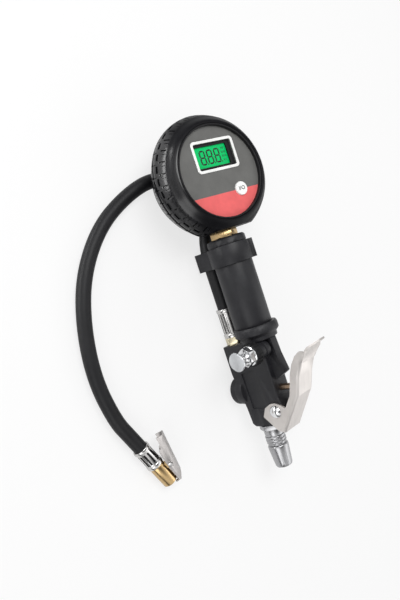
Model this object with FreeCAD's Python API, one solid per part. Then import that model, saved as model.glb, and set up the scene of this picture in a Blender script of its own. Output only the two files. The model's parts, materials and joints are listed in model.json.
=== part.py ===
import FreeCAD, Part
import math
import os

os.makedirs("parts", exist_ok=True)
V = FreeCAD.Vector
X, Y, Z = V(1, 0, 0), V(0, 1, 0), V(0, 0, 1)

# Digital tire pressure gauge and inflator, millimetres.
# Three frames are used. The tool frame has Y up the handle's axis towards the dial, Z out of the
# dial, and its origin on the axis at the foot of the grip. The body frame is the tool frame turned
# about Y by CLOCK, so the lever is at +Z and the bleed valve at -X. The row frame is the tool
# lying on its back on a table, with the origin under the middle of its box.

# ---- driving sizes ----
CLOCK = 13.0  # the valve body's turn round the handle from the dial's direction
REST_TILT = 3.2  # slope of the handle when the tool lies on its valve cap and its hose
FIT = 0.05  # radial clearance of a running or slip fit
GAP = 0.3  # clearance between faces that pass each other

HANDLE_R = 16.0
HANDLE_LENGTH = 70.0
HANDLE_WALL = 2.5
CAP_RISE = 6.0
AIR_TUBE_R = 7.0
AIR_TUBE_BORE = 4.5

FACE_Z = 21.1  # the dial's surface above the handle's axis
CASE_R = 40.6
DIAL_R = CASE_R - 3.7  # radius of the face that shows
CASE_WALL = 2.5
CASE_BACK = -16.5
BOOT_R = CASE_R + 10.0  # the tyre's crown
BOOT_NECK = CASE_R + 3.6  # the flat under the boot, where the stem comes out, below the dial's centre
STEM_SHOWS = 5.8  # the brass in sight between the handle's cap and the boot
DIAL_Y = HANDLE_LENGTH + CAP_RISE + STEM_SHOWS + BOOT_NECK  # the dial's centre above the foot of the grip
BOOT_BACK = -18.6
TREAD_BLOCKS = 32
TREAD_MIDDLE = 5.0  # height of the tread's middle groove
LCD_W, LCD_H = 36.2, 21.1  # the opening inside the display's frame
LCD_X, LCD_Y = 0.6, 13.6
LCD_BAND = 2.2
BUTTON_R = 5.5
BUTTON_X, BUTTON_Y = 14.9, -16.9
BUTTON_TRAVEL = 0.6
BAND_Y = -17.1  # top edge of the coloured band on the dial

STEM_AF = 19.7
BODY_HALF = 9.3  # half the valve body's thickness
BODY_FOOT = -86.5
RIB_HALF = 3.6
VALVE_Y = -55.5
VALVE_CAP_R = 12.0
VALVE_FACE = -34.0  # where the valve's cap seats
VALVE_CAP_END = -41.0
CHAMBER_R = 7.5
PIN_R = 2.6
PIN_TIP = 31.0
SEAT_L = -8.0

BLEED_L, BLEED_Y = 8.6, -19.7
BLEED_NUT_AF = 13.8
BLEED_FLANGE_R = 8.0
BLEED_RING_R = 9.6
BLEED_BUTTON_R = 7.7
BLEED_NECK_R = 7.2
BLEED_TRAVEL = 1.2

LEVER_T = 1.5
LEVER_HALF = 11.1
PIVOT_L, PIVOT_Y = 3.5, -73.0
PIVOT_R = 2.5

PLUG_L = -15.5
PLUG_BORE = 3.6
PLUG_TIP = -125.6

HOSE_R = 6.0
HOSE_BORE = 3.1
FIT_LOW, FIT_HEX_TOP = -13.4, -6.5  # the hose fitting's hexagon
HOSE_L = -26.0  # the hose beside the handle, on the side away from the lever
FERRULE_R = HOSE_R + 1.9
FERRULE_LENGTH = 25.5
FAR_FERRULE_R = HOSE_R + 1.2
FAR_FERRULE_LENGTH = 19.8
CLIP_LOW, CLIP_HIGH = 53.8, 69.5
CLIP_WALL = 2.0
CHUCK_R = 6.4
CHUCK_LENGTH = 20.3
CHUCK_BORE = 4.1
CHUCK_ROLL = -60.0  # turns the clip lever from straight up towards the tool


# ---- shapes ----
def rod(r, start, length, way):
    return Part.makeCylinder(r, length, start, way)


def ring(outer, inner, start, length, way):
    return rod(outer, start, length, way).cut(rod(inner, start - way, length + 2, way))


def box(x0, x1, y0, y1, z0, z1):
    return Part.makeBox(x1 - x0, y1 - y0, z1 - z0, V(x0, y0, z0))


def face(points):
    return Part.Face(Part.makePolygon(list(points) + [points[0]]))


def turned(profile, centre, way, side):
    """A solid of revolution: profile is (radius, distance along way) from centre."""
    return face([centre + side * r + way * a for r, a in profile]).revolve(centre, way, 360)


def hexagon(af, start, length, way, side):
    other = way.cross(side)
    r = af / math.sqrt(3)
    pts = [start + side * (r * math.cos(math.radians(60 * i)))
           + other * (r * math.sin(math.radians(60 * i))) for i in range(6)]
    return face(pts).extrude(way * length)


def plate(outline, near, far):
    """A flat piece of the valve body's frame: outline in (lever way, Y), from near to far along -X."""
    return face([V(-near, y, l) for l, y in outline]).extrude(V(near - far, 0, 0))


def edges_along(shape, way):
    out = []
    for e in shape.Edges:
        if len(e.Vertexes) == 2:
            d = e.Vertexes[1].Point - e.Vertexes[0].Point
            if d.Length > 0.5 and abs(abs(d.normalize().dot(way)) - 1) < 1e-6:
                out.append(e)
    return out


def rounded_plate(cx, cy, w, h, r, z0, z1):
    b = box(cx - w / 2, cx + w / 2, cy - h / 2, cy + h / 2, z0, z1)
    return b.makeFillet(r, edges_along(b, Z))


parts = {}
frames = {}


def tool(name, shape):
    parts[name] = shape
    frames[name] = "tool"


def body(name, shape):
    parts[name] = shape
    frames[name] = "body"


# ---- gauge head: a round case in a rubber boot with a tyre tread ----
DIAL = V(0, DIAL_Y, 0)


def on_dial(profile):
    return turned(profile, DIAL, Z, X)


stem_way = rod(6.0 + FIT, V(0, DIAL_Y - BOOT_R - 2, 0), 20, Y)

tyre = [(-17.8, BOOT_R - 10), (-5.0, BOOT_R - 3.3), (2.0, BOOT_R), (8.0, BOOT_R - 0.2), (15.0, BOOT_R - 3.0),
        (22.0, BOOT_R - 7.6), (24.8, BOOT_R - 11)]


def crown(z):
    """The tyre's outer radius at a height."""
    for (za, ra), (zb, rb) in zip(tyre, tyre[1:]):
        if z <= zb:
            return ra + (rb - ra) * (z - za) / (zb - za)
    return tyre[-1][1]


def below_crown(low, high, depth):
    """The outline of a cut that follows the tyre's crown at a depth."""
    heights = [low] + [z for z, r in tyre if low < z < high] + [high]
    return [(crown(z) - depth, z) for z in heights] + [(BOOT_R + 2, high), (BOOT_R + 2, low)]


boot = on_dial([(34.0, BOOT_BACK), (39.0, BOOT_BACK)] + [(r, z) for z, r in tyre]
               + [(CASE_R - 1.8, 24.7), (CASE_R - 2.3, 24.0), (CASE_R - 2.3, 22.95), (CASE_R + FIT, 22.95),
                  (CASE_R + FIT, CASE_BACK - FIT), (34.0, CASE_BACK - FIT)])
grooves = [on_dial(below_crown(TREAD_MIDDLE - 1.05, TREAD_MIDDLE + 1.05, 1.9))]
tread = []  # low, high, width, depth and shift of each cut, on both sides of the groove round the middle
for low, high, width, depth, shift in ((7.2, 13.4, 1.2, 1.3, 0.0), (4.9, 6.7, 5.8, 1.4, 0.5)):
    tread.append((TREAD_MIDDLE + low, TREAD_MIDDLE + high, width, depth, shift))
    tread.append((TREAD_MIDDLE - high, TREAD_MIDDLE - low, width, depth, shift))
step = 360.0 / TREAD_BLOCKS
for i in range(TREAD_BLOCKS):
    for low, high, width, depth, shift in tread:
        cut = face([V(r, -width / 2, z) for r, z in below_crown(low, high, depth)]).extrude(Y * width)
        cut.rotate(V(0, 0, 0), Z, (i + shift + 0.5) * step)
        cut.translate(DIAL)
        grooves.append(cut)
neck = box(-40, 40, DIAL_Y - 60, DIAL_Y - BOOT_NECK, -30, 30)
tool("gauge_boot", boot.cut(stem_way).cut(neck).cut(Part.makeCompound(grooves)))

SCREW_RING = 27.0
screw_spots = [V(SCREW_RING * math.cos(math.radians(a)), DIAL_Y + SCREW_RING * math.sin(math.radians(a)), 0)
               for a in (90, 210, 330)]
case = on_dial([(0, CASE_BACK), (CASE_R, CASE_BACK), (CASE_R, 19.6), (CASE_R - CASE_WALL, 19.6),
                (CASE_R - CASE_WALL, CASE_BACK + CASE_WALL), (0, CASE_BACK + CASE_WALL)])
for p in screw_spots:
    case = case.fuse(rod(2.6, p + V(0, 0, CASE_BACK + 1), 12 - CASE_BACK - 1, Z))
for p in screw_spots:
    case = case.cut(rod(1.25, p + V(0, 0, 5), 10, Z))
tool("gauge_case", case.cut(stem_way).removeSplitter())

tool("bezel_ring", on_dial([(DIAL_R, FACE_Z), (CASE_R, FACE_Z), (CASE_R, 22.9), (DIAL_R + 1.35, 22.9),
                            (DIAL_R + 1.35, 24.0), (DIAL_R + 1.0, 24.4), (DIAL_R + 0.3, 24.4), (DIAL_R, 24.1)]))

opening = rounded_plate(LCD_X, DIAL_Y + LCD_Y, LCD_W, LCD_H, 1.5, 10, 30)
button_hole = rod(BUTTON_R + 0.1, V(BUTTON_X, DIAL_Y + BUTTON_Y, 10), 20, Z)
band = rod(DIAL_R, V(0, DIAL_Y, FACE_Z - 0.4), 0.4, Z)
band = band.common(box(-40, 40, DIAL_Y - 40, DIAL_Y + BAND_Y, 0, 30)).cut(button_hole)
dial = rod(CASE_R, V(0, DIAL_Y, 19.6), FACE_Z - 19.6, Z).cut(opening).cut(button_hole).cut(band)
tool("dial_plate", dial)
tool("dial_band", band)

frame_outer = rounded_plate(LCD_X, DIAL_Y + LCD_Y, LCD_W + 2 * LCD_BAND, LCD_H + 2 * LCD_BAND, 3.2,
                            FACE_Z, FACE_Z + 0.9)
tool("display_frame", frame_outer.cut(opening))

LCD_VIEW_W, LCD_VIEW_H = 31.8, 16.8
LCD_VIEW_X = LCD_X - 1.7  # the view is wider on the side away from the button
MASK_LOW = 17.9
mask = box(LCD_X - 20.5, LCD_X + 20, DIAL_Y + LCD_Y - 12.4, DIAL_Y + LCD_Y + 12.4, MASK_LOW, 19.6)
tool("display_mask", mask.cut(rounded_plate(LCD_VIEW_X, DIAL_Y + LCD_Y, LCD_VIEW_W, LCD_VIEW_H, 1.0, 10, 30)))
panel = (LCD_VIEW_X - 16.9, LCD_VIEW_X + 16.9, DIAL_Y + LCD_Y - 10.3, DIAL_Y + LCD_Y + 10.3)
tool("display_panel", box(*panel, MASK_LOW - 1.5, MASK_LOW))
BOARD_TOP = 13.6
tool("display_backlight", box(*panel, BOARD_TOP, MASK_LOW - 1.5))
board = rod(31.0, V(0, DIAL_Y, BOARD_TOP - 1.6), 1.6, Z)
screws = []
for p in screw_spots:
    board = board.cut(rod(1.25, p, 30, Z))
    screws.append(rod(2.3, p + V(0, 0, BOARD_TOP), 1.6, Z).fuse(rod(1.2, p + V(0, 0, 6), 8, Z)))
tool("circuit_board", board)
tool("board_screws", Part.makeCompound(screws))
spot = V(BUTTON_X, DIAL_Y + BUTTON_Y, 0)
switch = box(spot.x - 4, spot.x + 4, spot.y - 4, spot.y + 4, BOARD_TOP, 15.0)
tool("tact_switch", switch.fuse(rod(1.7, spot + V(0, 0, 14.5), 0.8, Z)))
STEM_LOW = 15.3 + BUTTON_TRAVEL + 0.1
tool("mode_button", turned([(0, STEM_LOW), (2, STEM_LOW), (2, 18.4), (7.2, 18.4), (7.2, 19.3), (BUTTON_R, 19.3),
                            (BUTTON_R, 22.3), (BUTTON_R - 0.6, 22.9), (0, 22.9)], spot, Z, X))
cell_spot = V(-11, DIAL_Y + 4, CASE_BACK + CASE_WALL)
tool("battery_cell", rod(10.0, cell_spot, 3.2, Z))
tool("battery_holder", ring(12.4, 10.0 + GAP, cell_spot, 4.6, Z).cut(
    box(-40, -11, DIAL_Y + 1, DIAL_Y + 7, -20, 20)))

# ---- brass hexagon stem that carries the head on the handle, and the pressure sensor above it ----
TOP = HANDLE_LENGTH + CAP_RISE
STEM_TOP = DIAL_Y - BOOT_NECK
NUT_LOW = DIAL_Y - CASE_R + CASE_WALL + 0.9
SENSOR_Y = NUT_LOW + 6.2
stem = hexagon(STEM_AF, V(0, TOP, 0), STEM_TOP - TOP, Y, X)
stem.rotate(V(0, 0, 0), Y, 30)
chamfer = turned([(0, TOP), (10.4, TOP), (11.6, TOP + 0.9), (11.6, STEM_TOP - 0.9), (10.4, STEM_TOP),
                  (0, STEM_TOP)], V(0, 0, 0), Y, X)
stem = stem.common(chamfer).fuse(rod(6.0, V(0, STEM_TOP - 1, 0), SENSOR_Y - STEM_TOP + 1, Y))
stem = stem.fuse(rod(AIR_TUBE_BORE - FIT, V(0, TOP - 12, 0), 13, Y))
tool("gauge_stem", stem.cut(rod(2.0, V(0, 0, 0), 200, Y)))
tool("stem_nut", hexagon(14.0, V(0, NUT_LOW, 0), 3.8, Y, X).cut(rod(6.0, V(0, 0, 0), 200, Y)))
tool("pressure_sensor", box(-6, 6, SENSOR_Y, SENSOR_Y + 9, -6, 6).fuse(
    box(-4, 4, SENSOR_Y + 2, SENSOR_Y + 7, 5, BOARD_TOP - 1.6)))

# ---- handle: a sleeve round the air tube, with a cap at the top ----
tool("grip_tube", ring(HANDLE_R, HANDLE_R - HANDLE_WALL, V(0, 0, 0), HANDLE_LENGTH, Y))
cap_lip = HANDLE_R - HANDLE_WALL - FIT
cap = turned([(AIR_TUBE_R + FIT, HANDLE_LENGTH - 4), (cap_lip, HANDLE_LENGTH - 4), (cap_lip, HANDLE_LENGTH),
              (HANDLE_R + 0.3, HANDLE_LENGTH), (HANDLE_R + 0.3, TOP - 2.0), (HANDLE_R - 0.3, TOP - 0.6),
              (HANDLE_R - 1.7, TOP), (AIR_TUBE_R + FIT, TOP)], V(0, 0, 0), Y, X)
tool("grip_cap", cap)
tool("air_tube", ring(AIR_TUBE_R, AIR_TUBE_BORE, V(0, -10, 0), TOP + 10, Y))

# ---- valve body: a die casting, with its sides along the lever's plane ----
outline = [(-34.3, -12), (-34.3, -38), (-29.3, -70), (-28.3, -84), (-25.5, BODY_FOOT), (-8, BODY_FOOT),
           (1.5, -84), (9.5, -78), (11, -70), (9, -62), (9, -12)]
core = plate(outline, -BODY_HALF, BODY_HALF)
core = core.makeFillet(2.0, edges_along(core, X))
flat = [e for e in core.Edges if abs(e.BoundBox.XLength) < 1e-6]
core = core.makeChamfer(1.0, flat)
rib = plate([(0, -12), (0, -50), (9, -48), (20, -42.5), (17.2, -27), (16.2, -12)], -RIB_HALF, RIB_HALF)
rib = rib.makeFillet(1.5, [e for e in edges_along(rib, X) if e.BoundBox.ZMin > 12])
core = core.fuse(rib)
lug = rod(8.8, V(0, -31, HOSE_L), 31 + FIT_LOW, Y)
lug_foot = [e for e in lug.Edges if len(e.Vertexes) == 1 and e.BoundBox.YMax < -30]
casting = core.fuse(lug.makeFillet(1.0, lug_foot))
BOSS_L = 1.5
boss = turned([(0, -12.2), (15.8, -12.2), (16.0, -9.3), (18.8, -6.6), (18.8, -2.0), (18.0, 0), (0, 0)],
              V(0, 0, BOSS_L), Y, X)
casting = casting.fuse(boss).fuse(rod(cap_lip, V(0, -1, 0), 5, Y))
casting = casting.fuse(rod(VALVE_CAP_R + 0.4, V(0, VALVE_Y, VALVE_FACE), 8, Z))
casting = casting.fuse(rod(9.5, V(0, BODY_FOOT, PLUG_L), 20, Y))
casting = casting.fuse(rod(BLEED_NECK_R + 0.3, V(-BODY_HALF + 3, BLEED_Y, BLEED_L), 5, -X))
panel_cut = plate([(-22.5, -38.5), (-6, -36), (-5, -66.5), (-8.5, -70), (-21.5, -70)], BODY_HALF - 1.1, 20)
back_cut = plate([(-22.5, -38.5), (-6, -36), (-5, -66.5), (-8.5, -70), (-21.5, -70)], -20, -BODY_HALF + 1.1)
fitting_seat = plate([(-36, FIT_LOW), (-17.3, FIT_LOW), (-17.3, 2), (-36, 2)], -20, 20)
for cutter in (
    fitting_seat,
    panel_cut,
    back_cut,
    rod(AIR_TUBE_R + FIT, V(0, -10 - FIT, 0), 20, Y),
    rod(AIR_TUBE_BORE, V(0, -50, 0), 50, Y),
    rod(3.0, V(0, VALVE_Y + 1, 0), 8, Y),
    rod(CHAMBER_R, V(0, VALVE_Y, -45), 45 - 6.5, Z),
    rod(9.6, V(0, VALVE_Y, -45), 45 + VALVE_FACE + 1.4, Z),
    rod(VALVE_CAP_R + 0.4, V(0, VALVE_Y, VALVE_CAP_END), VALVE_FACE - VALVE_CAP_END, Z),
    rod(PIN_R + FIT, V(0, VALVE_Y, -7), 20, Z),
    rod(6.6, V(0, BODY_FOOT - 1, PLUG_L), 10.5, Y),
    rod(4.0, V(0, BODY_FOOT, PLUG_L), 26, Y),
    rod(4.9, V(0, -22, HOSE_L), 12, Y),
    rod(2.2, V(0, -34, HOSE_L), 14, Y),
    rod(2.2, V(0, -32, HOSE_L), -HOSE_L, Z),
    rod(3.0, V(0, BLEED_Y, BLEED_L), 30, -X),
    rod(5.0, V(-2, BLEED_Y, BLEED_L), 30, -X),
    rod(2.5, V(0, BLEED_Y, 0), BLEED_L, Z),
    rod(PIVOT_R, V(30, PIVOT_Y, PIVOT_L), 60, -X),
):
    casting = casting.cut(cutter)
body("valve_body", casting.removeSplitter())

# ---- main valve: a brass pin with a poppet, a spring behind it, and a screwed cap ----
pin = rod(PIN_R, V(0, VALVE_Y, -16), PIN_TIP + 16, Z)
pin = pin.fuse(turned([(0, -12), (6.0, -12), (6.0, -9.4), (4.4, SEAT_L - FIT), (0, SEAT_L - FIT)],
                      V(0, VALVE_Y, 0), Z, X))
tip_edge = [e for e in pin.Edges if len(e.Vertexes) == 1 and e.BoundBox.ZMin > PIN_TIP - 0.1]
body("valve_pin", pin.makeFillet(0.8, tip_edge))
body("valve_seat", ring(CHAMBER_R - FIT, PIN_R + 0.8, V(0, VALVE_Y, SEAT_L), 1.5, Z))
body("valve_spring", ring(5.2, 4.0, V(0, VALVE_Y, VALVE_FACE), -12 - VALVE_FACE, Z))
PLUG_IN = VALVE_FACE + 7.0  # how far the cap's plug reaches in
valve_cap = turned([(0, VALVE_CAP_END), (VALVE_CAP_R - 1.4, VALVE_CAP_END), (VALVE_CAP_R, VALVE_CAP_END + 1.4),
                    (VALVE_CAP_R, VALVE_FACE), (CHAMBER_R - FIT, VALVE_FACE), (CHAMBER_R - FIT, PLUG_IN), (6.0, PLUG_IN),
                    (6.0, VALVE_FACE), (0, VALVE_FACE)], V(0, VALVE_Y, 0), Z, X)
valve_cap = valve_cap.cut(hexagon(8.0, V(0, VALVE_Y, VALVE_CAP_END), 4, Z, X))
body("valve_cap", valve_cap)
body("cap_seal", ring(9.5, CHAMBER_R, V(0, VALVE_Y, VALVE_FACE), 1.4, Z))

# ---- bleed valve on the side: boss, ribbed lock ring, hexagon nut, and a sprung disc button ----
BLEED = V(0, BLEED_Y, BLEED_L)
F = -X
BOSS_TOP, LOCK_TOP, FLANGE_TOP, HEX_TOP, NUT_TOP = 18.5, 24.6, 26.0, 31.0, 34.0
NUT_WELL = 27.5
SHOULDER = NUT_TOP + BLEED_TRAVEL + 1.4  # the button's shoulder, which stays clear of the nut when pressed
DISC_LOW, DISC_TOP = 39.8, 41.2
boss_part = turned([(3.0, BODY_HALF + 2 - 9), (4.95, BODY_HALF + 2 - 9), (4.95, BODY_HALF + 2),
                    (BLEED_NECK_R, BODY_HALF + 2), (BLEED_NECK_R, BOSS_TOP), (3.0, BOSS_TOP)], BLEED, F, Z)
body("bleed_boss", boss_part)
lock = ring(BLEED_RING_R, 3.0, BLEED + F * BOSS_TOP, LOCK_TOP - BOSS_TOP, F)
ribs = []
for i in range(18):
    rib = box(-LOCK_TOP - 1, -BOSS_TOP + 1, -0.7, 0.7, BLEED_RING_R - 0.7, BLEED_RING_R + 1)
    rib.rotate(V(0, 0, 0), X, i * 20)
    rib.translate(BLEED)
    ribs.append(rib)
body("bleed_lock_ring", lock.cut(Part.makeCompound(ribs)))
nut = hexagon(BLEED_NUT_AF, BLEED + F * LOCK_TOP, HEX_TOP - LOCK_TOP, F, Y)
corner = BLEED_NUT_AF / math.sqrt(3)
dome = turned([(0, LOCK_TOP), (corner, LOCK_TOP), (corner, HEX_TOP - 0.9), (corner - 1.1, HEX_TOP), (0, HEX_TOP)],
              BLEED, F, Z)
flange = turned([(0, LOCK_TOP), (BLEED_FLANGE_R, LOCK_TOP), (BLEED_FLANGE_R, LOCK_TOP + 0.9),
                 (BLEED_FLANGE_R - 1.0, FLANGE_TOP), (0, FLANGE_TOP)], BLEED, F, Z)
nose = turned([(0, HEX_TOP - 1), (5.2, HEX_TOP - 1), (5.2, HEX_TOP + 0.6), (4.4, NUT_TOP - 1.2), (4.4, NUT_TOP),
               (0, NUT_TOP)], BLEED, F, Z)
nut = nut.common(dome).fuse(flange).fuse(nose)
nut = nut.cut(rod(2.4 + FIT, BLEED, 60, F)).cut(rod(3.4, BLEED + F * NUT_WELL, 20, F))
body("bleed_nut", nut.removeSplitter())
body("bleed_button", turned([(0, 12), (2.4, 12), (2.4, SHOULDER), (3.6, SHOULDER), (3.6, DISC_LOW),
                             (BLEED_BUTTON_R, DISC_LOW), (BLEED_BUTTON_R, DISC_TOP - 0.3),
                             (BLEED_BUTTON_R - 0.3, DISC_TOP), (0, DISC_TOP)], BLEED, F, Z))
body("bleed_spring", ring(3.3, 2.6, BLEED + F * NUT_WELL, SHOULDER - NUT_WELL, F))

# ---- trigger lever: bent sheet with a web and two ears, on a riveted pivot pin ----
web_line = [(7.0, -91.5), (31.0, -61.5), (37.5, -46.0), (43.5, -35.5), (54.0, -24.3), (63.0, -20.9)]


def inside(line, t):
    """The line moved t towards the handle, with mitred corners."""
    out = []
    for i, (a, b) in enumerate(line):
        ways = []
        for j in (i - 1, i):
            if 0 <= j < len(line) - 1:
                da, db = line[j + 1][0] - line[j][0], line[j + 1][1] - line[j][1]
                n = math.hypot(da, db)
                ways.append((-db / n, da / n))
        na = sum(w[0] for w in ways) / len(ways)
        nb = sum(w[1] for w in ways) / len(ways)
        k = t / (na * na + nb * nb)
        out.append((a + na * k, b + nb * k))
    return out


web = plate(web_line + inside(web_line, LEVER_T)[::-1], -LEVER_HALF, LEVER_HALF)
ear_line = [(-11.0, -77.0), (-6.5, -69.5), (0, -66.2), (5.0, -65.6), (11.0, -67.5), (15.0, -70.5), (17.5, -67.5),
            (23.5, -60.1), (27.3, -51.0), (30.4, -42.9), (35.1, -34.6), (40.5, -28.4), (45.2, -25.4),
            (48.6, -25.6), (51.2, -27.3), (43.5, -35.5), (37.5, -46.0), (31.0, -61.5), (7.0, -91.5), (0.5, -89.4)]
lever = web
for near in (-LEVER_HALF, LEVER_HALF - LEVER_T):
    ear = plate(ear_line, near, near + LEVER_T)
    lever = lever.fuse(ear)
lever = lever.removeSplitter()
lever = lever.cut(rod(PIVOT_R + FIT, V(30, PIVOT_Y, PIVOT_L), 60, -X))
tip = [(51.5, LEVER_HALF + 0.1), (55.0, 7.6), (59.0, 5.2), (62.0, 3.8), (63.5, 2.0), (65.0, 2.0), (65.0, 14),
       (51.5, 14)]
for side in (-1, 1):
    lever = lever.cut(face([V(side * f, -32, l) for l, f in tip]).extrude(Y * 20))
body("trigger_lever", lever)
head = [(0, LEVER_HALF + 0.15), (5.5, LEVER_HALF + 0.15), (5.2, LEVER_HALF + 1.3), (4.0, LEVER_HALF + 2.5),
        (2.0, LEVER_HALF + 3.1), (0, LEVER_HALF + 3.2)]
PIVOT = V(0, PIVOT_Y, PIVOT_L)
pivot = rod(PIVOT_R, PIVOT + X * (LEVER_HALF + 1), 2 * LEVER_HALF + 2, -X)
body("pivot_pin", pivot.fuse(turned(head, PIVOT, X, Z)).fuse(turned(head, PIVOT, -X, Z)))

# ---- quick-connect inlet plug under the body ----
PLUG = V(0, 0, PLUG_L)
plug = turned([(PLUG_BORE, BODY_FOOT + 9), (6.6 - FIT, BODY_FOOT + 9), (6.6 - FIT, BODY_FOOT), (7.4, BODY_FOOT),
               (7.4, -97.0), (8.6, -97.0), (8.8, -97.6), (8.8, -98.8), (8.1, -99.2), (8.1, -99.8), (8.8, -100.2),
               (8.8, -101.4), (8.1, -101.8), (8.1, -102.4), (8.8, -102.8), (8.5, -103.6), (7.0, -103.8),
               (7.0, -105.4), (8.6, -105.8), (9.0, -106.6), (9.0, -108.0), (7.5, -123.6), (6.9, -125.0),
               (5.6, PLUG_TIP), (PLUG_BORE, PLUG_TIP)], PLUG, Y, X)
plug_hex = hexagon(19.0, V(0, BODY_FOOT - 4.2, PLUG_L), 4.2, Y, X)
body("inlet_plug", plug.fuse(plug_hex.cut(rod(PLUG_BORE, V(0, -200, PLUG_L), 200, Y))).removeSplitter())
body("plug_collar", ring(8.3, 7.4 + FIT, V(0, -96.9, PLUG_L), 6.0, Y))
screen = rod(PLUG_BORE, V(0, BODY_FOOT + 4, PLUG_L), 1.2, Y)
holes = []
for i in range(6):
    turn = math.radians(60 * i)
    holes.append(rod(0.6, V(1.9 * math.cos(turn), -90, PLUG_L + 1.9 * math.sin(turn)), 20, Y))
body("inlet_screen", screen.cut(Part.makeCompound(holes)))

# ---- hose fitting, crimped ferrule, and the clip that holds the hose to the handle ----
HOSE = V(0, 0, HOSE_L)
fitting = rod(4.85, HOSE + V(0, -21.9, 0), 21.9 + FIT_LOW, Y)
fitting = fitting.fuse(hexagon(14.0, HOSE + V(0, FIT_LOW, 0), FIT_HEX_TOP - FIT_LOW, Y, X))
fitting = fitting.fuse(rod(HOSE_BORE - FIT, HOSE + V(0, FIT_HEX_TOP, 0), 22, Y))
body("hose_fitting", fitting.cut(rod(1.9, HOSE + V(0, -30, 0), 60, Y)))


def ferrule(low, r, length):
    """A crimped ferrule along Y from low, closed at its low end, with a collar at each end."""
    high = low + length
    f = turned([(HOSE_BORE, low), (r - 0.4, low), (r, low + 0.4), (r, low + 3.0), (r - 0.6, low + 3.6),
                (r - 0.6, high - 3.2), (r, high - 2.6), (r, high - 0.4), (r - 0.4, high), (HOSE_R + 0.03, high),
                (HOSE_R + 0.03, low + 2.5), (HOSE_BORE, low + 2.5)], V(0, 0, 0), Y, X)
    flutes = []
    for i in range(12):
        flute = box(r - 0.95, r + 1, low + 4.6, high - 4.2, -0.5, 0.5)
        flute.rotate(V(0, 0, 0), Y, i * 30)
        flutes.append(flute)
    return f.cut(Part.makeCompound(flutes))


near = ferrule(FIT_HEX_TOP, FERRULE_R, FERRULE_LENGTH)
near.translate(HOSE)
body("hose_ferrule", near)
HOSE_START = FIT_HEX_TOP + 2.5

tall = CLIP_HIGH - CLIP_LOW
hook_r = HOSE_R + 0.05
HOOK_HALF = 7.6
clip = rod(HANDLE_R + FIT + CLIP_WALL, V(0, CLIP_LOW, 0), tall, Y)
block = box(-HOOK_HALF, HOOK_HALF, CLIP_LOW, CLIP_HIGH, HOSE_L - hook_r - 2.2, -10)
clip = clip.fuse(block.makeFillet(1.2, [e for e in edges_along(block, Y) if e.BoundBox.ZMax < -20]))
EAR_TURN = 45.0  # the set screw's boss, from the lever's side towards the back
ear = box(-3.4, 3.4, CLIP_LOW, CLIP_HIGH, 10, HANDLE_R + 4.6)
ear = ear.makeFillet(0.8, [e for e in edges_along(ear, Y) if e.BoundBox.ZMin > 15])
ear.rotate(V(0, 0, 0), Y, EAR_TURN)
clip = clip.fuse(ear).cut(rod(HANDLE_R + FIT, V(0, 0, 0), 100, Y)).cut(rod(hook_r, V(0, 0, HOSE_L), 100, Y))
flare = Part.makeCone(hook_r, hook_r + 1.2, CLIP_HIGH - CLIP_LOW - 6, V(0, CLIP_LOW + 6, HOSE_L), Y)
mouth = box(3, 12, 0, 100, HOSE_L - 4.0, HOSE_L + 1.5)
EAR_MID = (CLIP_LOW + CLIP_HIGH) / 2
clip_screw = rod(1.6, V(0, EAR_MID, HANDLE_R + 0.1), 4.1, Z)
clip_screw = clip_screw.cut(box(-2, 2, EAR_MID - 0.35, EAR_MID + 0.35, HANDLE_R + 3.4, HANDLE_R + 6))
screw_way = rod(1.6, V(0, EAR_MID, 10), 20, Z)
for s in (clip_screw, screw_way):
    s.rotate(V(0, 0, 0), Y, EAR_TURN)
body("hose_clip", clip.cut(mouth).cut(flare).cut(screw_way).removeSplitter())
body("clip_screw", clip_screw)

# ---- tyre chuck, built along Y from the far ferrule, with its clip lever towards +Z ----
far = {}
far["far_ferrule"] = ferrule(0, FAR_FERRULE_R, FAR_FERRULE_LENGTH)
far["far_ferrule"].rotate(V(0, FAR_FERRULE_LENGTH / 2, 0), Z, 180)
END = FAR_FERRULE_LENGTH
CHUCK_END = END + CHUCK_LENGTH
chuck = turned([(1.6, END - 15), (HOSE_BORE - FIT, END - 15), (HOSE_BORE - FIT, END), (CHUCK_R - 0.5, END),
                (CHUCK_R, END + 0.6), (CHUCK_R, CHUCK_END - 1.0), (CHUCK_R - 1.0, CHUCK_END),
                (CHUCK_BORE, CHUCK_END), (CHUCK_BORE, CHUCK_END - 11), (4.6, CHUCK_END - 11),
                (4.6, CHUCK_END - 14), (1.6, CHUCK_END - 14)], V(0, 0, 0), Y, X)
PIN_AT = V(0, END + 5.6, 10.4)
lug_block = box(-1.9, 1.9, PIN_AT.y - 2.6, PIN_AT.y + 2.6, CHUCK_R - 1.0, PIN_AT.z + 1.7)
far["chuck_body"] = chuck.fuse(lug_block).cut(rod(1.2, PIN_AT - X * 10, 20, X)).removeSplitter()
far["chuck_seal"] = ring(4.5, 2.4, V(0, CHUCK_END - 13.9, 0), 2.8, Y)
far["chuck_depressor"] = turned([(0, CHUCK_END - 17), (1.55, CHUCK_END - 17), (1.55, CHUCK_END - 14.2),
                                 (1.2, CHUCK_END - 14.2), (1.2, CHUCK_END - 11.2), (0, CHUCK_END - 11.2)],
                                V(0, 0, 0), Y, X)
CLIP_T = 1.0
CLIP_HALF = 3.6
JAW_Y = CHUCK_END + 0.7
cheek_line = [(-0.3, 15.5), (0.5, 21.9), (37.1, 12.4), (JAW_Y + CLIP_T, 9.2), (JAW_Y + CLIP_T, 4.4), (JAW_Y, 4.4),
              (JAW_Y, 7.4), (29.0, 7.6), (22.0, 8.2), (12.0, 9.8), (10.2, 10.8), (9.6, 12.8), (8.3, 13.9)]
lever_top = [(0.5, 21.9), (37.1, 12.4), (JAW_Y + CLIP_T, 9.2), (JAW_Y + CLIP_T, 4.4)]


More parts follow.
